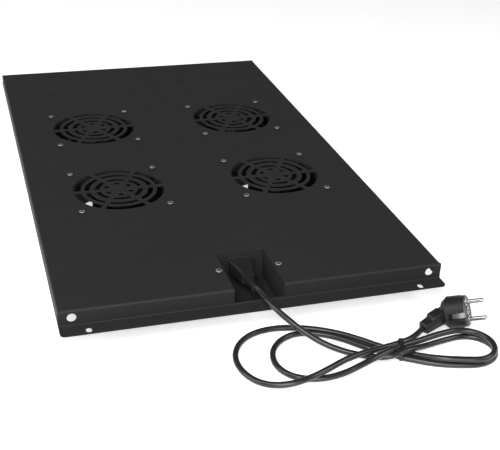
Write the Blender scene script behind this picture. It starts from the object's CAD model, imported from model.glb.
import math
import bmesh
import bpy
from mathutils import Matrix, Vector


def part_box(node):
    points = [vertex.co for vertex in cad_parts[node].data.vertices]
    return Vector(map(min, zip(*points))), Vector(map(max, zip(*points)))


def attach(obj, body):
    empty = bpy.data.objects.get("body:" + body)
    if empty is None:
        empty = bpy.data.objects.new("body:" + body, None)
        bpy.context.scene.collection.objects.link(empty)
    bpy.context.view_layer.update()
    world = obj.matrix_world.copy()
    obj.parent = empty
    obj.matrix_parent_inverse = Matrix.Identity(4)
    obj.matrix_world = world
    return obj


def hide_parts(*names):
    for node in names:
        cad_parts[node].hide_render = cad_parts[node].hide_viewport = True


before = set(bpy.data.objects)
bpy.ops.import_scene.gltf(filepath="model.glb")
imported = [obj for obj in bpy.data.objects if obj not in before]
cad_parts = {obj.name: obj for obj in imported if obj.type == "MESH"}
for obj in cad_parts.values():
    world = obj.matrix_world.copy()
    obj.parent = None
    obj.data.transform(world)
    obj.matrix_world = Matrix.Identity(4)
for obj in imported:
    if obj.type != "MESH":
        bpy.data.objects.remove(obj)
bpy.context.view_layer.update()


# ---------------------------------------------------------------- tray pan
# One sheet of 1.2 mm steel, punched with the four grilles, folded down on every side and
# turned out into a lip at the front and rear, then powder coated satin black all over.

TRUE_EDGE = 32.0        # degrees between two faces whose edge is kept sharp
JOIN_WITHIN = 0.000002
EASE_STEPS = 2


def finish(name, colour, roughness, metallic=0.0, specular=0.5):
    """A new material with plain values on its shader, and the parts needed to add to it."""
    made = bpy.data.materials.new(name)
    made.use_nodes = True
    shader = made.node_tree.nodes["Principled BSDF"]
    shader.inputs["Base Color"].default_value = (*colour, 1.0)
    shader.inputs["Roughness"].default_value = roughness
    shader.inputs["Metallic"].default_value = metallic
    shader.inputs["Specular IOR Level"].default_value = specular
    return made, made.node_tree, shader


def grain(tree, scale, detail):
    """Noise in the piece's own space."""
    where = tree.nodes.new("ShaderNodeTexCoord")
    noise = tree.nodes.new("ShaderNodeTexNoise")
    noise.inputs["Scale"].default_value = scale
    noise.inputs["Detail"].default_value = detail
    tree.links.new(where.outputs["Object"], noise.inputs["Vector"])
    return noise.outputs["Fac"]


def spread(tree, source, socket, low, high, start=0.3, end=0.7):
    """Turn a 0 to 1 pattern into a range of values on a shader socket."""
    ramp = tree.nodes.new("ShaderNodeMapRange")
    ramp.inputs["From Min"].default_value = start
    ramp.inputs["From Max"].default_value = end
    ramp.inputs["To Min"].default_value = low
    ramp.inputs["To Max"].default_value = high
    tree.links.new(source, ramp.inputs["Value"])
    tree.links.new(ramp.outputs["Result"], socket)


def tint(tree, source, socket, dark, light, start=0.35, end=0.65):
    """Blend two colours by a pattern."""
    ramp = tree.nodes.new("ShaderNodeValToRGB")
    ramp.color_ramp.elements[0].position = start
    ramp.color_ramp.elements[0].color = (*dark, 1.0)
    ramp.color_ramp.elements[1].position = end
    ramp.color_ramp.elements[1].color = (*light, 1.0)
    tree.links.new(source, ramp.inputs["Fac"])
    tree.links.new(ramp.outputs["Color"], socket)


def relief(tree, source, shader, height):
    """Raise a pattern by a real height in metres on the shader's normal."""
    bump = tree.nodes.new("ShaderNodeBump")
    bump.inputs["Strength"].default_value = 1.0
    bump.inputs["Distance"].default_value = height
    tree.links.new(source, bump.inputs["Height"])
    tree.links.new(bump.outputs["Normal"], shader.inputs["Normal"])


def show(shape, name, seam=TRUE_EDGE):
    """Make a shape a piece of the scene, smooth all over but for its true edges."""
    for face in shape.faces:
        face.smooth = True
    for edge in shape.edges:
        edge.smooth = edge.calc_face_angle(0.0) < math.radians(seam)
    mesh = bpy.data.meshes.new(name)
    shape.to_mesh(mesh)
    shape.free()
    piece = bpy.data.objects.new(name, mesh)
    bpy.context.scene.collection.objects.link(piece)
    return piece


def merged(node):
    """A copy of a CAD node's mesh with its loose triangles joined."""
    loose = bmesh.new()
    loose.from_mesh(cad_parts[node].data)
    bmesh.ops.remove_doubles(loose, verts=loose.verts, dist=JOIN_WITHIN)
    loose.verts.index_update()
    corners = [vert.co[:] for vert in loose.verts]
    faces = [[vert.index for vert in face.verts] for face in loose.faces]
    loose.free()
    mesh = bpy.data.meshes.new("Merged")
    mesh.from_pydata(corners, [], faces)
    shape = bmesh.new()
    shape.from_mesh(mesh)
    bpy.data.meshes.remove(mesh)
    return shape


def fair_copy(node, name, ease=0.0, seam=TRUE_EDGE, shape=None):
    """A piece with a CAD node's shape, or one made in its place, whose true edges are eased."""
    piece = show(shape or merged(node), name, seam)
    if ease:
        bevel = piece.modifiers.new("EasedEdges", "BEVEL")
        bevel.width = ease
        bevel.segments = EASE_STEPS
        bevel.limit_method = "ANGLE"
        bevel.angle_limit = math.radians(seam)
        bevel.harden_normals = True
        bevel.use_clamp_overlap = True
    return piece


def seat(piece, material, body, slot, *nodes):
    """Give a piece its finish, its body, its slot and the CAD nodes that it stands for."""
    if material is not None:
        piece.data.materials.clear()
        piece.data.materials.append(material)
    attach(piece, body)
    if nodes:
        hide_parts(*nodes)
    return piece


COAT_BLACK = (0.0245, 0.0245, 0.025)
COAT_DARK, COAT_LIGHT = (0.0238, 0.0238, 0.0242), (0.0252, 0.0252, 0.0256)
COAT_PEEL = 0.00003
powder_coat, coat_tree, coat = finish("SatinBlackPowderCoat", COAT_BLACK, roughness=0.5, specular=0.08)
tint(coat_tree, grain(coat_tree, 6.0, 3.0), coat.inputs["Base Color"], COAT_DARK, COAT_LIGHT)
spread(coat_tree, grain(coat_tree, 45.0, 4.0), coat.inputs["Roughness"], low=0.5, high=0.56)
relief(coat_tree, grain(coat_tree, 1100.0, 2.0), coat, COAT_PEEL)

# On the bends and the punched edges the coat lies thinner and is rubbed brighter. Those faces
# remember it: each leans between two of the pan's straight directions, and none faces almost
# straight out of its long sides.
RUBBED_BLACK, RUBBED_ROUGH = (0.03, 0.03, 0.0304), 0.5
LEANS_OVER, STAYS_UNDER, FACES_OVER = 0.12, 0.02, 0.3
pan_sheet = merged("tray_pan")
rubbed = pan_sheet.faces.layers.float.new("rubbed")
for face in pan_sheet.faces:
    least, between = sorted(abs(part) for part in face.normal)[:2]
    faces_out = max(abs(face.normal.y), abs(face.normal.z))
    face[rubbed] = float(between > LEANS_OVER and least < STAYS_UNDER and faces_out > FACES_OVER)
wear = coat_tree.nodes.new("ShaderNodeAttribute")
wear.attribute_name = "rubbed"
coat_rough = coat_tree.nodes.new("ShaderNodeMix")
coat_rough.inputs["B"].default_value = RUBBED_ROUGH
coat_tree.links.new(wear.outputs["Fac"], coat_rough.inputs["Factor"])
coat_tree.links.new(coat.inputs["Roughness"].links[0].from_socket, coat_rough.inputs["A"])
coat_tree.links.new(coat_rough.outputs["Result"], coat.inputs["Roughness"])
coat_shade = coat_tree.nodes.new("ShaderNodeMix")
coat_shade.data_type = "RGBA"
coat_shade.inputs["B"].default_value = (*RUBBED_BLACK, 1.0)
coat_tree.links.new(wear.outputs["Fac"], coat_shade.inputs["Factor"])
coat_tree.links.new(coat.inputs["Base Color"].links[0].from_socket, coat_shade.inputs["A"])
coat_tree.links.new(coat_shade.outputs["Result"], coat.inputs["Base Color"])
tray_pan = fair_copy("tray_pan", "TrayPan", ease=0.00025, shape=pan_sheet)
seat(tray_pan, powder_coat, "tray", "pan_paint", "tray_pan")


# ---------------------------------------------------------------- inlet box
# A small folded box of the same coated steel, open at the top and front, screwed up under the
# pan's notch by two ears. Its rear wall carries the appliance inlet, and its two sides are cut
# back at their lower front corners, clear of the pan's lip.

MOUTH_SLOPE_HIGH, MOUTH_SLOPE_BACK = 0.012, 0.0096
CUT_WITHIN = 0.0000001
box_low = Vector(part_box("inlet_box")[0])
box_sheet = merged("inlet_box")
whole_sheet = box_sheet.verts[:] + box_sheet.edges[:] + box_sheet.faces[:]
slope = Vector((0.0, -MOUTH_SLOPE_HIGH, -MOUTH_SLOPE_BACK)).normalized()
cut = bmesh.ops.bisect_plane(box_sheet, geom=whole_sheet, dist=CUT_WITHIN, plane_no=slope, clear_outer=True,
                             plane_co=(0.0, box_low.y, box_low.z + MOUTH_SLOPE_HIGH))
rim = [part for part in cut["geom_cut"] if isinstance(part, bmesh.types.BMEdge)]
bmesh.ops.triangle_fill(box_sheet, edges=rim, use_beauty=True)
bmesh.ops.recalc_face_normals(box_sheet, faces=box_sheet.faces)
inlet_box = fair_copy("inlet_box", "InletBox", ease=0.0002, shape=box_sheet)
seat(inlet_box, powder_coat, "tray", "pan_paint", "inlet_box")


# ---------------------------------------------------------------- fans
# Four mains fans of the 120 mm size: a die-cast black frame with two square flanges and a
# motor plate on three struts, and a moulded impeller of five blades round the rotor cup.

FAN_BLACK = (0.003, 0.003, 0.0032)
CASTING_PEEL, BLADE_PEEL = 0.00005, 0.00002
cast_black, cast_tree, cast = finish("BlackCoatedCasting", FAN_BLACK, roughness=0.5, specular=0.08)
spread(cast_tree, grain(cast_tree, 90.0, 4.0), cast.inputs["Roughness"], low=0.42, high=0.6)
relief(cast_tree, grain(cast_tree, 700.0, 3.0), cast, CASTING_PEEL)
blade_black, blade_tree, blade = finish("MouldedImpellerBlack", FAN_BLACK, roughness=0.6, specular=0.04)
spread(blade_tree, grain(blade_tree, 60.0, 3.0), blade.inputs["Roughness"], low=0.52, high=0.66)
relief(blade_tree, grain(blade_tree, 900.0, 2.0), blade, BLADE_PEEL)
CORE_GREY, CORE_DARK, CORE_LIGHT = (0.33, 0.31, 0.29), (0.26, 0.24, 0.22), (0.38, 0.36, 0.34)
core_steel, core_tree, core = finish("StatorSteel", CORE_GREY, roughness=0.45, metallic=0.9)
tint(core_tree, grain(core_tree, 300.0, 3.0), core.inputs["Base Color"], CORE_DARK, CORE_LIGHT)

# The flange and the wall of the bore near it are faced off and coated again, a shade lighter
FACED_BLACK = (0.02, 0.02, 0.0204)
BORE_REACH, LIGHT_ABOVE, DARK_BELOW = 0.0535, 0.036, 0.028
faced = cast_tree.nodes.new("ShaderNodeAttribute")
faced.attribute_name = "faced"
cast_where = cast_tree.nodes.new("ShaderNodeTexCoord")
cast_split = cast_tree.nodes.new("ShaderNodeSeparateXYZ")
cast_tree.links.new(cast_where.outputs["Object"], cast_split.inputs["Vector"])
near_top = cast_tree.nodes.new("ShaderNodeMapRange")
near_top.inputs["From Min"].default_value = DARK_BELOW
near_top.inputs["From Max"].default_value = LIGHT_ABOVE
cast_tree.links.new(cast_split.outputs["Z"], near_top.inputs["Value"])
lighter = cast_tree.nodes.new("ShaderNodeMath")
lighter.operation = "MULTIPLY"
cast_tree.links.new(near_top.outputs["Result"], lighter.inputs[0])
cast_tree.links.new(faced.outputs["Fac"], lighter.inputs[1])
tint(cast_tree, lighter.outputs[0], cast.inputs["Base Color"], FAN_BLACK, FACED_BLACK, start=0.0, end=1.0)

FANS = (1, 2, 3, 4)
for number in FANS:
    node = "fan_frame_%d" % number
    low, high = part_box(node)
    middle = Vector(((low[0] + high[0]) / 2, (low[1] + high[1]) / 2, 0.0))
    casting = merged(node)
    mouth = casting.faces.layers.float.new("faced")
    for face in casting.faces:
        face[mouth] = float((face.calc_center_median() - middle).xy.length > BORE_REACH)
    fan_frame = fair_copy(node, "FanFrame%d" % number, ease=0.0004, shape=casting)
    seat(fan_frame, cast_black, "tray", "fan_casting", node)
    node = "fan_stator_%d" % number
    seat(fair_copy(node, "FanStator%d" % number), core_steel, "tray", "stator_steel", node)
    node = "impeller_%d" % number
    impeller = fair_copy(node, "Impeller%d" % number, ease=0.0002)
    seat(impeller, blade_black, "rotor_%d" % number, "impeller_plastic", node)


# ---------------------------------------------------------------- screws and nuts
# Low pan-head machine screws with a cross recess, plated dull, four through each grille's
# corners into the fan and two for the inlet box, each with a hexagon nut underneath.

PLATED_GREY, PLATED_BRIGHT, RECESS_DIRT = (0.4, 0.4, 0.41), (0.44, 0.44, 0.45), (0.02, 0.02, 0.02)
plated, plated_tree, plating = finish("DullPlatedSteel", PLATED_GREY, roughness=0.5, metallic=0.9)
spread(plated_tree, grain(plated_tree, 500.0, 3.0), plating.inputs["Roughness"], low=0.44, high=0.56)

# Coat and dirt stay in the recess and round the rim, so only the top of a head is bright
CLEAN_ABOVE, DIRTY_BELOW = 0.0012, 0.0006
plate_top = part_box("tray_pan")[1][2]
screw_where = plated_tree.nodes.new("ShaderNodeTexCoord")
screw_split = plated_tree.nodes.new("ShaderNodeSeparateXYZ")
plated_tree.links.new(screw_where.outputs["Object"], screw_split.inputs["Vector"])
clean = plated_tree.nodes.new("ShaderNodeMapRange")
clean.inputs["From Min"].default_value = plate_top + DIRTY_BELOW
clean.inputs["From Max"].default_value = plate_top + CLEAN_ABOVE
plated_tree.links.new(screw_split.outputs["Z"], clean.inputs["Value"])
tint(plated_tree, clean.outputs["Result"], plating.inputs["Base Color"], RECESS_DIRT, PLATED_BRIGHT,
     start=0.0, end=1.0)
zinc, zinc_tree, zinc_shader = finish("BrightZinc", (0.45, 0.45, 0.46), roughness=0.3, metallic=1.0)
spread(zinc_tree, grain(zinc_tree, 400.0, 3.0), zinc_shader.inputs["Roughness"], low=0.22, high=0.4)


def sized_tree(name, sizes):
    """An empty geometry tree with named sizes, and what is needed to wire it."""
    tree = bpy.data.node_groups.new(name, "GeometryNodeTree")
    tree.interface.new_socket("Geometry", in_out="INPUT", socket_type="NodeSocketGeometry")
    for label, value in sizes.items():
        kind = "NodeSocketInt" if isinstance(value, int) else "NodeSocketFloat"
        tree.interface.new_socket(label, in_out="INPUT", socket_type=kind).default_value = value
    tree.interface.new_socket("Geometry", in_out="OUTPUT", socket_type="NodeSocketGeometry")
    return tree, tree.nodes.new("NodeGroupInput").outputs, tree.nodes.new("NodeGroupOutput").inputs


def put(tree, kind, **values):
    """Add one node: its settings first, then its inputs, from sockets or plain values."""
    node = tree.nodes.new(kind)
    for label, value in values.items():
        if hasattr(node, label):
            setattr(node, label, value)
            continue
        numbered = label.startswith("in") and label[2:].isdigit()
        place = int(label[2:]) if numbered else label.replace("_", " ")
        if isinstance(value, bpy.types.NodeSocket):
            tree.links.new(value, node.inputs[place])
        else:
            node.inputs[place].default_value = value
    return node


def sums(tree, kind, first, second=0.0):
    """One step of arithmetic."""
    return put(tree, "ShaderNodeMath", operation=kind, in0=first, in1=second).outputs[0]


def curve_through(tree, along, points):
    """A straight-sided curve from a share of the way along to a share of a size."""
    node = put(tree, "ShaderNodeFloatCurve", Value=along)
    line = node.mapping.curves[0]
    line.points[0].location = points[0]
    line.points[1].location = points[-1]
    for x, y in points[1:-1]:
        line.points.new(x, y)
    for point in line.points:
        point.handle_type = "VECTOR"
    node.mapping.update()
    return node.outputs[0]


# A screw's outline, as shares: its half width, its rise above the seat and its drop below it
PROFILE_STEPS, ROUND_STEPS = 49, 21
THREAD_FROM = 0.23
CLOSE_WITHIN = 0.00001
HEAD_SHARE = [(0.0, 0.0), (0.0416, 0.36), (0.0832, 0.66), (0.125, 0.87), (0.1665, 0.985), (0.1875, 1.0),
              (0.2083, 0.5), (0.9583, 0.5), (0.9792, 0.38), (1.0, 0.0)]
HEAD_RISE = [(0.0, 1.0), (0.0416, 0.97), (0.0832, 0.88), (0.125, 0.7), (0.1665, 0.32), (0.1875, 0.0),
             (1.0, 0.0)]
SHANK_DROP = [(0.0, 0.0), (0.2083, 0.0), (0.9583, 0.97), (0.9792, 1.0), (1.0, 1.0)]


def turned(tree, across, high, deep, ridge):
    """A screw turned about its axis: domed head above zero, threaded shank below."""
    grid = put(tree, "GeometryNodeMeshGrid", Vertices_X=PROFILE_STEPS, Vertices_Y=ROUND_STEPS)
    flat = tree.nodes.new("GeometryNodeInputPosition")
    place = put(tree, "ShaderNodeSeparateXYZ", Vector=flat.outputs[0])
    along = sums(tree, "ADD", place.outputs["X"], 0.5)
    angle = sums(tree, "MULTIPLY", sums(tree, "ADD", place.outputs["Y"], 0.5), math.tau)
    head_share = curve_through(tree, along, HEAD_SHARE)
    rise = curve_through(tree, along, HEAD_RISE)
    drop = curve_through(tree, along, SHANK_DROP)
    step = sums(tree, "ROUND", sums(tree, "MULTIPLY", along, PROFILE_STEPS - 1.0))
    threaded = sums(tree, "GREATER_THAN", along, THREAD_FROM)
    groove = sums(tree, "MULTIPLY", sums(tree, "MODULO", step, 2.0), threaded)
    radius = sums(tree, "MULTIPLY", head_share, sums(tree, "DIVIDE", across, 2.0))
    radius = sums(tree, "SUBTRACT", radius, sums(tree, "MULTIPLY", groove, ridge))
    radius = sums(tree, "MAXIMUM", radius, 0.0)
    height = sums(tree, "SUBTRACT", sums(tree, "MULTIPLY", rise, high), sums(tree, "MULTIPLY", drop, deep))
    spot = put(tree, "ShaderNodeCombineXYZ", X=sums(tree, "MULTIPLY", radius, sums(tree, "COSINE", angle)),
               Y=sums(tree, "MULTIPLY", radius, sums(tree, "SINE", angle)), Z=height)
    body = put(tree, "GeometryNodeSetPosition", Geometry=grid.outputs["Mesh"], Position=spot.outputs[0])
    closed = put(tree, "GeometryNodeMergeByDistance", Geometry=body.outputs[0], Distance=CLOSE_WITHIN)
    return closed.outputs[0]


def slot_cutter(tree, given, turn):
    """A flat bar that cuts one slot of a recess down from the top of a head."""
    size = put(tree, "ShaderNodeCombineXYZ", X=given["Slot Length"], Y=given["Slot Width"],
               Z=sums(tree, "MULTIPLY", given["Slot Depth"], 2.0))
    bar = put(tree, "GeometryNodeMeshCube", Size=size.outputs[0])
    shift = put(tree, "ShaderNodeCombineXYZ", Z=given["Head Height"])
    return put(tree, "GeometryNodeTransform", Geometry=bar.outputs[0], Translation=shift.outputs[0],
               Rotation=(0.0, 0.0, turn)).outputs[0]


def on_points(tree, given, out, shape, material, tilt=0.0):
    """Set a shape on every point, each turned its own way, and end as one plain mesh."""
    spin = put(tree, "FunctionNodeRandomValue", data_type="FLOAT", Seed=given["Seed"], in2=0.0, in3=math.tau)
    turn = put(tree, "ShaderNodeCombineXYZ", X=tilt, Z=spin.outputs[1])
    placed = put(tree, "GeometryNodeInstanceOnPoints", Points=given["Geometry"], Instance=shape,
                 Rotation=turn.outputs[0])
    plain = put(tree, "GeometryNodeRealizeInstances", Geometry=placed.outputs[0])
    coated = put(tree, "GeometryNodeSetMaterial", Geometry=plain.outputs[0], Material=material)
    tree.links.new(coated.outputs[0], out["Geometry"])


def screw_tree(name, sizes, material, arms, tilt=0.0):
    """Turned screws with a slot or a cross in the head."""
    tree, given, out = sized_tree(name, sizes)
    shape = turned(tree, given["Head Width"], given["Head Height"], given["Shank Length"],
                   given["Thread Depth"])
    for turn in (0.0, math.pi / 2)[:arms]:
        cut_head = put(tree, "GeometryNodeMeshBoolean", operation="DIFFERENCE", solver="EXACT")
        tree.links.new(shape, cut_head.inputs[0])
        tree.links.new(slot_cutter(tree, given, turn), cut_head.inputs[1])
        shape = cut_head.outputs[0]
    on_points(tree, given, out, shape, material, tilt)
    return tree


def grown(tree, places, name, sizes, seam=TRUE_EDGE):
    """Grow a tree's shape at the places given, and keep it as a plain piece."""
    seeds = bpy.data.meshes.new(name + "Places")
    seeds.from_pydata([tuple(place) for place in places], [], [])
    holder = bpy.data.objects.new(name + "Places", seeds)
    bpy.context.scene.collection.objects.link(holder)
    modifier = holder.modifiers.new("Grow", "NODES")
    modifier.node_group = tree
    for socket in tree.interface.items_tree:
        if socket.in_out == "INPUT" and socket.name in sizes:
            modifier[socket.identifier] = sizes[socket.name]
    bpy.context.view_layer.update()
    seen = holder.evaluated_get(bpy.context.evaluated_depsgraph_get())
    mesh = bpy.data.meshes.new_from_object(seen)
    holder.modifiers.clear()
    shape = bmesh.new()
    shape.from_mesh(mesh)
    bmesh.ops.recalc_face_normals(shape, faces=shape.faces)
    bpy.data.objects.remove(holder)
    piece = show(shape, name, seam)
    for material in mesh.materials:
        piece.data.materials.append(material)
    bpy.data.meshes.remove(mesh)
    return piece


FAN_SQUARE = 0.105
BOX_SCREW_APART = 0.066
fan_places = []
for number in FANS:
    low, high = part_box("fan_frame_%d" % number)
    x, y = (low[0] + high[0]) / 2, (low[1] + high[1]) / 2
    fan_places += [(x + i * FAN_SQUARE / 2, y + j * FAN_SQUARE / 2, plate_top)
                   for i in (-1, 1) for j in (-1, 1)]
ear_low, ear_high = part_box("inlet_box_screws")
box_places = [(side * BOX_SCREW_APART / 2, (ear_low[1] + ear_high[1]) / 2, plate_top) for side in (-1, 1)]

SCREW = {"Head Width": 0.0076, "Head Height": 0.0017, "Shank Length": 0.0107, "Thread Depth": 0.0003,
         "Slot Width": 0.0014, "Slot Length": 0.0052, "Slot Depth": 0.0014, "Seed": 4}
cross_screws = screw_tree("CrossHeadScrews", SCREW, plated, arms=2)
fan_sizes = {**SCREW, "Shank Length": plate_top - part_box("fan_screws")[0][2]}
seat(grown(cross_screws, fan_places, "FanScrews", fan_sizes), None, "tray", "screw_plating", "fan_screws")
box_sizes = {**SCREW, "Shank Length": plate_top - ear_low[2], "Seed": 9}
seat(grown(cross_screws, box_places, "InletBoxScrews", box_sizes), None, "tray", "screw_plating",
     "inlet_box_screws")

# A nut is a hexagon whose corners are rounded off by two cones, bored through
NUT = {"Across Flats": 0.007, "Height": 0.0032, "Bore": 0.0041, "Chamfer": 0.0005, "Seed": 7}
CONE_SIDES, BORE_SIDES, CONE_SPREAD, NUT_EDGE = 36, 24, 1.8, 20.0
hex_nuts, given, out = sized_tree("HexNuts", NUT)
corner = sums(hex_nuts, "DIVIDE", given["Across Flats"], math.sqrt(3.0))
hexagon = put(hex_nuts, "GeometryNodeMeshCylinder", Vertices=6, Radius=corner, Depth=given["Height"])
near = sums(hex_nuts, "SUBTRACT", corner, given["Chamfer"])
half_deep = sums(hex_nuts, "DIVIDE", given["Height"], 2.0)
far = sums(hex_nuts, "ADD", near, sums(hex_nuts, "MULTIPLY", half_deep, CONE_SPREAD))
below = sums(hex_nuts, "MULTIPLY", half_deep, -1.0)
cones = put(hex_nuts, "GeometryNodeMeshBoolean", operation="UNION", solver="EXACT")
for top, bottom, level in ((near, far, 0.0), (far, near, below)):
    cone = put(hex_nuts, "GeometryNodeMeshCone", Vertices=CONE_SIDES, Radius_Top=top, Radius_Bottom=bottom,
               Depth=half_deep)
    lift = put(hex_nuts, "ShaderNodeCombineXYZ", Z=level)
    moved = put(hex_nuts, "GeometryNodeTransform", Geometry=cone.outputs["Mesh"],
                Translation=lift.outputs[0])
    hex_nuts.links.new(moved.outputs[0], cones.inputs[1])
round_off = put(hex_nuts, "GeometryNodeMeshBoolean", operation="INTERSECT", solver="EXACT")
hex_nuts.links.new(hexagon.outputs["Mesh"], round_off.inputs[1])
hex_nuts.links.new(cones.outputs[0], round_off.inputs[1])
drill = put(hex_nuts, "GeometryNodeMeshCylinder", Vertices=BORE_SIDES,
            Radius=sums(hex_nuts, "DIVIDE", given["Bore"], 2.0),
            Depth=sums(hex_nuts, "MULTIPLY", given["Height"], 2.0))
bored = put(hex_nuts, "GeometryNodeMeshBoolean", operation="DIFFERENCE", solver="EXACT")
hex_nuts.links.new(round_off.outputs[0], bored.inputs[0])
hex_nuts.links.new(drill.outputs["Mesh"], bored.inputs[1])
on_points(hex_nuts, given, out, bored.outputs[0], zinc)
for name, node, places in (
    ("FanNuts", "fan_nuts", fan_places),
    ("InletBoxNuts", "inlet_box_nuts", box_places),
):
    low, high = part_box(node)
    middles = [(x, y, (low[2] + high[2]) / 2) for x, y, z in places]
    seat(grown(hex_nuts, middles, name, NUT, NUT_EDGE), None, "tray", "nut_plating", node)


# ---------------------------------------------------------------- inlet, block and leads
# The moulded inlet with its three pins, the nylon terminal block under the plate, the sleeved
# leads from the inlet to the block and from the block to each fan, and their saddle clips.

INLET_PEEL = 0.00002
inlet_black, inlet_tree, inlet = finish("MouldedInletBlack", (0.018, 0.018, 0.019), roughness=0.42)
relief(inlet_tree, grain(inlet_tree, 1000.0, 2.0), inlet, INLET_PEEL)
nickel, nickel_tree, nickel_shader = finish("BrightNickel", (0.46, 0.455, 0.44), roughness=0.2, metallic=1.0)
spread(nickel_tree, grain(nickel_tree, 120.0, 2.0), nickel_shader.inputs["Roughness"], low=0.17, high=0.24)
NYLON_DARK, NYLON_LIGHT = (0.68, 0.66, 0.6), (0.75, 0.73, 0.68)
nylon, nylon_tree, nylon_shader = finish("NaturalNylon", (0.72, 0.70, 0.64), roughness=0.42)
tint(nylon_tree, grain(nylon_tree, 40.0, 3.0), nylon_shader.inputs["Base Color"], NYLON_DARK, NYLON_LIGHT)
sleeve, sleeve_tree, sleeve_shader = finish("SleevedLeadBlack", (0.02, 0.02, 0.021), roughness=0.4)
spread(sleeve_tree, grain(sleeve_tree, 150.0, 3.0), sleeve_shader.inputs["Roughness"], low=0.34, high=0.48)
for node, name, ease, material, slot in (
    ("inlet_socket", "InletSocket", 0.0003, inlet_black, "inlet_moulding"),
    ("inlet_pins", "InletPins", 0.0003, nickel, "contact_plating"),
    ("terminal_block", "TerminalBlock", 0.0004, nylon, "block_moulding"),
    ("lead_clips", "LeadClips", 0.0003, nylon, "block_moulding"),
):
    seat(fair_copy(node, name, ease), material, "tray", slot, node)

# A slotted screw clamps the wire in each of the block's five ways
BLOCK_PITCH, BLOCK_SUNK = 0.0106, 0.0022
CLAMP = {"Head Width": 0.0034, "Head Height": 0.0009, "Shank Length": 0.0022, "Thread Depth": 0.0001,
         "Slot Width": 0.0007, "Slot Length": 0.005, "Slot Depth": 0.0006, "Seed": 2}
block_low, block_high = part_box("terminal_block")
way_places = [(way * BLOCK_PITCH, (block_low[1] + block_high[1]) / 2, block_low[2] + BLOCK_SUNK)
              for way in range(-2, 3)]
clamp_tree = screw_tree("SlottedClampScrews", CLAMP, zinc, arms=1, tilt=math.pi)
seat(grown(clamp_tree, way_places, "TerminalScrews", CLAMP), None, "tray", "nut_plating")
seat(fair_copy("inlet_lead", "InletLead"), sleeve, "tray", "cord_sheath", "inlet_lead")
for number in FANS:
    node = "fan_lead_%d" % number
    seat(fair_copy(node, "FanLead%d" % number), sleeve, "tray", "cord_sheath", node)


# ---------------------------------------------------------------- connector
# The cord's own connector, moulded over its end in soft black plastic: a rounded grip that
# narrows away from the inlet, and a tapered sleeve that lets the cord bend gently.

MOULDED_PEEL = 0.00002
moulded, moulded_tree, moulding = finish("SoftMouldedBlack", (0.015, 0.015, 0.0155), roughness=0.42,
                                         specular=0.32)
spread(moulded_tree, grain(moulded_tree, 70.0, 3.0), moulding.inputs["Roughness"], low=0.37, high=0.48)
relief(moulded_tree, grain(moulded_tree, 1300.0, 2.0), moulding, MOULDED_PEEL)
connector = seat(fair_copy("connector_body", "ConnectorBody", ease=0.0005), moulded, "tray",
                 "cord_moulding", "connector_body")
tail = seat(fair_copy("connector_tail", "ConnectorTail"), moulded, "tray", "cord_moulding",
            "connector_tail")


# ---------------------------------------------------------------- plug
# Moulded earthed plug of the round two-pin kind, in the same soft black. Its pins, the rings
# round its contacts and its side earth clips are bright nickel, the clips dulled by handling.

plug = seat(fair_copy("plug_body", "PlugBody", ease=0.0004), moulded, "tray", "cord_moulding", "plug_body")
ROUND_SIDES = 32
PIN_ROUND, PIN_APART = 0.0024, 0.019
PIN_SHAPE = [(0.0, -0.009), (1.0, -0.009), (1.0, 0.0166), (0.93, 0.0176), (0.75, 0.0183), (0.45, 0.0187),
             (0.0, 0.0188)]
RING_SHAPE = [(0.0026, -0.0002), (0.0041, -0.0002), (0.0041, 0.0005), (0.0038, 0.0008), (0.0029, 0.0008),
              (0.0026, 0.0005)]
PLUG_FACE = (0.2033, -0.4228, 0.0232)
PLUG_HEADING, PLUG_TILT, PLUG_SPIN = math.radians(-37.5), math.radians(68.2), math.radians(-100.0)
plug_place = (Matrix.Translation(PLUG_FACE) @ Matrix.Rotation(PLUG_HEADING, 4, "Z")
              @ Matrix.Rotation(PLUG_TILT, 4, "Y") @ Matrix.Rotation(PLUG_SPIN, 4, "Z"))


def turn_on_plug(shape, outline, aside, closed):
    """Turn an outline of radii and heights about an axis of the plug, a way off its middle."""
    rings = []
    for radius, height in outline:
        ring = []
        for i in range(ROUND_SIDES if radius else 1):
            angle = math.tau * i / ROUND_SIDES
            spot = Vector((radius * math.cos(angle), aside + radius * math.sin(angle), height))
            ring.append(shape.verts.new(plug_place @ spot))
        rings.append(ring)
    for lower, upper in zip(rings, rings[1:] + rings[:1] if closed else rings[1:]):
        for i in range(ROUND_SIDES):
            j = (i + 1) % ROUND_SIDES
            corners = (lower[i % len(lower)], lower[j % len(lower)],
                       upper[j % len(upper)], upper[i % len(upper)])
            shape.faces.new(list(dict.fromkeys(corners)))


pin_pair, ring_set = bmesh.new(), bmesh.new()
for side in (-1, 1):
    turn_on_plug(pin_pair, [(PIN_ROUND * r, z) for r, z in PIN_SHAPE], side * PIN_APART / 2, closed=False)
    turn_on_plug(ring_set, RING_SHAPE, side * PIN_APART / 2, closed=True)
turn_on_plug(ring_set, RING_SHAPE, 0.0, closed=True)
bmesh.ops.recalc_face_normals(pin_pair, faces=pin_pair.faces)
bmesh.ops.recalc_face_normals(ring_set, faces=ring_set.faces)
pins = seat(show(pin_pair, "PlugPins"), nickel, "tray", "contact_plating", "plug_pins")
shoulders = seat(show(ring_set, "PlugContactRings"), nickel, "tray", "contact_plating")
CLIP_EDGE = 50.0
worn_nickel, worn_tree, worn = finish("HandledNickel", (0.2, 0.197, 0.19), roughness=0.34, metallic=1.0)
spread(worn_tree, grain(worn_tree, 200.0, 2.0), worn.inputs["Roughness"], low=0.28, high=0.4)
clips = seat(fair_copy("plug_earth_clips", "PlugEarthClips", seam=CLIP_EDGE), worn_nickel, "tray",
             "contact_plating", "plug_earth_clips")


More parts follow.
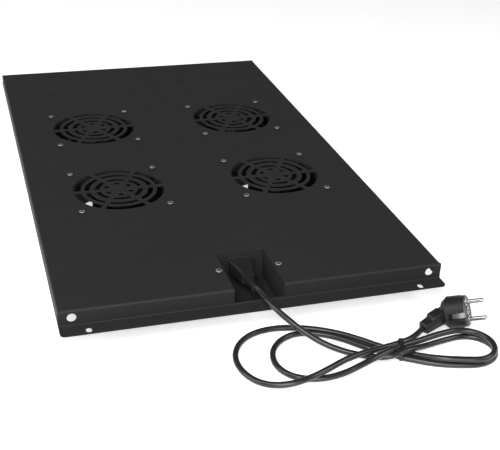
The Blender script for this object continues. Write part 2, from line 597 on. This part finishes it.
# ---------------------------------------------------------------- power cord
# One round mains lead, about 6 mm thick and 1.43 m long, of glossy black sheath: out of the
# connector, over the front lip, twice round each end of the tied figure of eight on the
# surface, and into the plug.

CORD_THICK = 0.0062
LAID = 3.3      # height of the cord's middle where it lies on the surface, in mm
OVER = 9.9      # and where it lies on another strand
CORD_PEEL = 0.00002
CORD_LINE = [
    (0.0, -339.0, 28.5),
    (0.0, -352.5, 32.6),
    (2.5, -372.5, 33.0),
    (12.5, -393.0, 27.0),
    (27.5, -410.0, 17.5),
    (45.5, -424.0, 8.5),
    (65.0, -435.5, LAID),
    (83.0, -448.0, 3.6),
    (97.0, -461.5, 9.0),
    (116.5, -459.0, 11.2),
    (129.0, -455.0, 10.2),
    (145.0, -448.5, 6.0),
    (171.5, -440.0, LAID),
    (194.0, -437.5, LAID),
    (209.5, -447.0, LAID),
    (215.5, -463.5, LAID),
    (207.0, -480.5, LAID),
    (189.5, -488.0, LAID),
    (166.0, -483.5, LAID),
    (142.5, -475.0, LAID),
    (125.0, -464.0, LAID),
    (114.5, -457.0, LAID),
    (105.5, -445.5, LAID),
    (95.5, -439.0, LAID),
    (85.5, -431.2, LAID),
    (69.0, -412.0, LAID),
    (49.5, -398.0, LAID),
    (28.0, -392.0, LAID),
    (6.5, -400.5, LAID),
    (-8.0, -420.0, LAID),
    (-10.0, -444.0, LAID),
    (1.5, -463.0, LAID),
    (23.5, -471.5, LAID),
    (48.5, -470.5, 4.5),
    (71.5, -468.5, 12.2),
    (96.5, -459.5, 14.0),
    (118.0, -449.0, 11.4),
    (139.5, -445.0, 11.0),
    (165.0, -438.5, 10.9),
    (188.0, -435.5, 10.2),
    (205.5, -444.0, OVER),
    (213.0, -461.5, OVER),
    (207.0, -480.0, OVER),
    (190.0, -489.0, OVER),
    (171.0, -484.2, OVER),
    (148.5, -477.0, OVER),
    (132.5, -461.5, 5.2),
    (122.5, -451.5, 3.5),
    (110.5, -442.0, LAID),
    (99.5, -432.0, LAID),
    (89.0, -420.0, LAID),
    (71.5, -403.5, LAID),
    (50.0, -390.0, LAID),
    (27.0, -381.5, LAID),
    (3.5, -378.0, LAID),
    (-19.5, -383.5, LAID),
    (-37.0, -399.0, LAID),
    (-46.0, -421.5, LAID),
    (-43.5, -446.5, LAID),
    (-31.0, -467.0, 4.0),
    (-11.0, -477.0, 6.9),
    (11.5, -476.0, OVER),
    (34.0, -466.5, OVER),
    (56.0, -455.5, OVER),
    (77.5, -449.5, OVER),
    (100.0, -446.5, 10.3),
    (122.5, -442.0, 9.8),
    (140.5, -434.5, 9.1),
    (154.4, -422.6, 8.5),
]
sheath, sheath_tree, sheath_shader = finish("GlossyBlackSheath", (0.018, 0.018, 0.019), roughness=0.24)
spread(sheath_tree, grain(sheath_tree, 35.0, 3.0), sheath_shader.inputs["Roughness"], low=0.19, high=0.29)
relief(sheath_tree, grain(sheath_tree, 220.0, 2.0), sheath_shader, CORD_PEEL)
line = bpy.data.curves.new("PowerCord", "CURVE")
line.dimensions = "3D"
line.bevel_depth = CORD_THICK / 2
line.bevel_resolution = 6
line.resolution_u = 10
line.use_fill_caps = True
spline = line.splines.new("NURBS")
spline.points.add(len(CORD_LINE) - 1)
for point, (x, y, z) in zip(spline.points, CORD_LINE):
    point.co = (x / 1000, y / 1000, z / 1000, 1.0)
spline.order_u = 3
spline.use_endpoint_u = True
line.materials.append(sheath)
cord = bpy.data.objects.new("PowerCord", line)
bpy.context.scene.collection.objects.link(cord)
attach(cord, "tray")
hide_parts("power_cord")


# ---------------------------------------------------------------- cord tie
# A flat black plastic strap, pulled tight round all five strands of the cord where they cross,
# with its small lock on top. Its loop is the tight outline round the strands' rims.

TIE_MIDDLE = Vector((0.1186, -0.4495, 0.0))
TIE_TURN = math.radians(-25.0)
TIE_REACH, LEAST_ALONG, RIM_POINTS = 0.03, 0.5, 24
STRAP_WIDE, STRAP_THICK, STRAP_GAP = 0.0030, 0.0006, 0.0001
STRAP_LOWEST, STRAP_FLOOR = 0.0001, 0.0005
LOCK_WIDE, LOCK_LONG, LOCK_HIGH, LOCK_SUNK = 0.0036, 0.0034, 0.0024, 0.0004
LOCK_PLACE, LOCK_ASIDE = 0.0050, -0.0024
strap_along = Vector((math.cos(TIE_TURN), math.sin(TIE_TURN), 0.0))
strap_across = Vector((-math.sin(TIE_TURN), math.cos(TIE_TURN), 0.0))
bare = line.copy()
bare.bevel_depth = 0.0
bare_cord = bpy.data.objects.new("BareCord", bare)
bpy.context.scene.collection.objects.link(bare_cord)
bpy.context.view_layer.update()
followed = bpy.data.meshes.new_from_object(bare_cord.evaluated_get(bpy.context.evaluated_depsgraph_get()))
trail = [vert.co.copy() for vert in followed.vertices]
bpy.data.objects.remove(bare_cord)
bpy.data.curves.remove(bare)
bpy.data.meshes.remove(followed)
rims = []
for here, there in zip(trail, trail[1:]):
    before = (here - TIE_MIDDLE).dot(strap_along)
    after = (there - TIE_MIDDLE).dot(strap_along)
    if before * after > 0.0:
        continue
    crossing = here.lerp(there, before / (before - after)) - TIE_MIDDLE
    lean = abs((there - here).normalized().dot(strap_along))
    if abs(crossing.dot(strap_across)) > TIE_REACH or lean < LEAST_ALONG:
        continue
    for part in range(RIM_POINTS):
        turn = math.tau * part / RIM_POINTS
        rims.append((crossing.dot(strap_across) + (CORD_THICK / 2 + STRAP_GAP) / lean * math.cos(turn),
                     crossing.z + (CORD_THICK / 2 + STRAP_GAP) * math.sin(turn)))


def hull(points):
    """The tight outline round a set of flat points, in order."""
    points = sorted(set(points))
    outline = []
    for run in (points, points[::-1]):
        side = []
        for x, y in run:
            while len(side) > 1 and ((side[-1][0] - side[-2][0]) * (y - side[-2][1])
                                     - (side[-1][1] - side[-2][1]) * (x - side[-2][0])) <= 0:
                side.pop()
            side.append((x, y))
        outline += side[:-1]
    return outline


inner = hull(rims)
strap = bmesh.new()
rings = []
for along, out_by in ((-0.5, 0.0), (0.5, 0.0), (0.5, 1.0), (-0.5, 1.0)):
    ring = []
    for i, (u, z) in enumerate(inner):
        last, following = inner[i - 1], inner[(i + 1) % len(inner)]
        inward = Vector((last[1] - following[1], following[0] - last[0])).normalized()
        u -= inward.x * STRAP_THICK * out_by
        z -= inward.y * STRAP_THICK * out_by
        spot = TIE_MIDDLE + strap_across * u + strap_along * (along * STRAP_WIDE)
        spot.z = max(z, STRAP_LOWEST + STRAP_FLOOR * (1 - out_by))
        ring.append(strap.verts.new(spot))
    rings.append(ring)
for ring, after in zip(rings, rings[1:] + rings[:1]):
    for i in range(len(inner)):
        j = (i + 1) % len(inner)
        strap.faces.new((ring[i], ring[j], after[j], after[i]))
crest = max(z for u, z in inner)
for vert in bmesh.ops.create_cube(strap, size=1.0)["verts"]:
    x, y, z = vert.co
    spot = TIE_MIDDLE + strap_along * (LOCK_ASIDE + x * LOCK_WIDE)
    spot += strap_across * (LOCK_PLACE + y * LOCK_LONG)
    spot.z = crest - LOCK_SUNK + z * LOCK_HIGH
    vert.co = spot
bmesh.ops.recalc_face_normals(strap, faces=strap.faces)
tie = seat(fair_copy("cord_tie", "CordTie", ease=0.0002, shape=strap), moulded, "tray", "cord_moulding",
           "cord_tie")


# ---------------------------------------------------------------- studio
# A pale floor under white air that shows as plain white, six large soft lights, and the camera
# in front of the tray, to its left and above.

FLOOR_REACH, FLOOR_GREY = 6, (0.8, 0.8, 0.8, 1)
floor_mesh = bpy.data.meshes.new("StudioFloor")
floor_corners = [(x * FLOOR_REACH, y * FLOOR_REACH, 0) for x, y in ((-1, -1), (1, -1), (1, 1), (-1, 1))]
floor_mesh.from_pydata(floor_corners, [], [(0, 1, 2, 3)])
floor = bpy.data.objects.new("StudioFloor", floor_mesh)
bpy.context.scene.collection.objects.link(floor)


def seen_directly(tree, socket, unseen, seen):
    """Give a socket one value for the camera, gloss and clear pieces, and another for soft light."""
    path = tree.nodes.new("ShaderNodeLightPath")
    found = path.outputs["Is Camera Ray"]
    for other in ("Is Glossy Ray", "Is Transmission Ray"):
        either = tree.nodes.new("ShaderNodeMath")
        either.operation = "MAXIMUM"
        tree.links.new(found, either.inputs[0])
        tree.links.new(path.outputs[other], either.inputs[1])
        found = either.outputs[0]
    level = tree.nodes.new("ShaderNodeMapRange")
    level.inputs["To Min"].default_value = unseen
    level.inputs["To Max"].default_value = seen
    tree.links.new(found, level.inputs["Value"])
    tree.links.new(level.outputs["Result"], socket)


FLOOR_GLOW = 0.62
paper = bpy.data.materials.new("PaleFloor")
paper.use_nodes = True
paper_shader = paper.node_tree.nodes["Principled BSDF"]
paper_shader.inputs["Base Color"].default_value = FLOOR_GREY
paper_shader.inputs["Roughness"].default_value = 0.9
paper_shader.inputs["Specular IOR Level"].default_value = 0.0
paper_shader.inputs["Emission Color"].default_value = (1, 1, 1, 1)
seen_directly(paper.node_tree, paper_shader.inputs["Emission Strength"], unseen=0.0, seen=FLOOR_GLOW)
floor_mesh.materials.append(paper)

# The air is white near the horizon, like a backdrop, and fades to a dark ceiling. It shows to the
# camera and in gloss, and adds no soft light.
HORIZON_TOP, CEILING_START, CEILING_LEVEL = 0.1, 0.3, 0.06
world = bpy.data.worlds.new("StudioAir")
bpy.context.scene.world = world
world.use_nodes = True
air_tree = world.node_tree
air = air_tree.nodes["Background"]
direction = air_tree.nodes.new("ShaderNodeTexCoord")
split = air_tree.nodes.new("ShaderNodeSeparateXYZ")
fade = air_tree.nodes.new("ShaderNodeValToRGB")
fade.color_ramp.elements[0].position = HORIZON_TOP
fade.color_ramp.elements[0].color = (1, 1, 1, 1)
fade.color_ramp.elements[1].position = CEILING_START
fade.color_ramp.elements[1].color = (CEILING_LEVEL, CEILING_LEVEL, CEILING_LEVEL, 1)
air_tree.links.new(direction.outputs["Generated"], split.inputs["Vector"])
air_tree.links.new(split.outputs["Z"], fade.inputs["Fac"])
air_tree.links.new(fade.outputs["Color"], air.inputs["Color"])
seen_directly(air_tree, air.inputs["Strength"], unseen=0.0, seen=1.0)

LAMPS_AIM = Vector((0.0, -0.1, 0.0))
for name, where, side, power in (
    ("KeySoftbox", (-1.2, -0.6, 1.9), 0.9, 11.0),
    ("FrontHighSoftbox", (-0.5, -1.3, 1.2), 0.9, 16.0),
    ("RightSoftbox", (1.7, -1.0, 1.5), 1.0, 14.0),
    ("LowFrontSoftbox", (-0.4, -2.4, 0.8), 1.6, 30.0),
    ("LeftSoftbox", (-2.0, -0.1, 1.0), 1.4, 17.0),
    ("RearSoftbox", (-1.5, 1.7, 1.1), 1.2, 1.5),
):
    lamp = bpy.data.lights.new(name, "AREA")
    lamp.size = side
    lamp.energy = power
    holder = bpy.data.objects.new(name, lamp)
    holder.location = where
    holder.rotation_euler = (LAMPS_AIM - Vector(where)).to_track_quat("-Z", "Y").to_euler()
    bpy.context.scene.collection.objects.link(holder)

CAMERA_PLACE = Vector((-0.27659, -1.16405, 0.56168))
YAW, PITCH, ROLL = math.radians(17.96), math.radians(27.78), math.radians(2.40)
FILM_WIDE, LENS = 36.0, 70.15
level_right = Vector((math.cos(YAW), -math.sin(YAW), 0))
forward = Vector((math.sin(YAW) * math.cos(PITCH), math.cos(YAW) * math.cos(PITCH), -math.sin(PITCH)))
upright = level_right.cross(forward)
right = level_right * math.cos(ROLL) + upright * math.sin(ROLL)
up = upright * math.cos(ROLL) - level_right * math.sin(ROLL)
lens = bpy.data.cameras.new("Camera")
lens.sensor_width = FILM_WIDE
lens.lens = LENS
camera = bpy.data.objects.new("Camera", lens)
camera.matrix_world = Matrix.LocRotScale(CAMERA_PLACE, Matrix((right, up, -forward)).transposed(), None)
bpy.context.scene.collection.objects.link(camera)
bpy.context.scene.camera = camera
bpy.context.scene.view_settings.view_transform = "Standard"

bpy.context.view_layer.update()
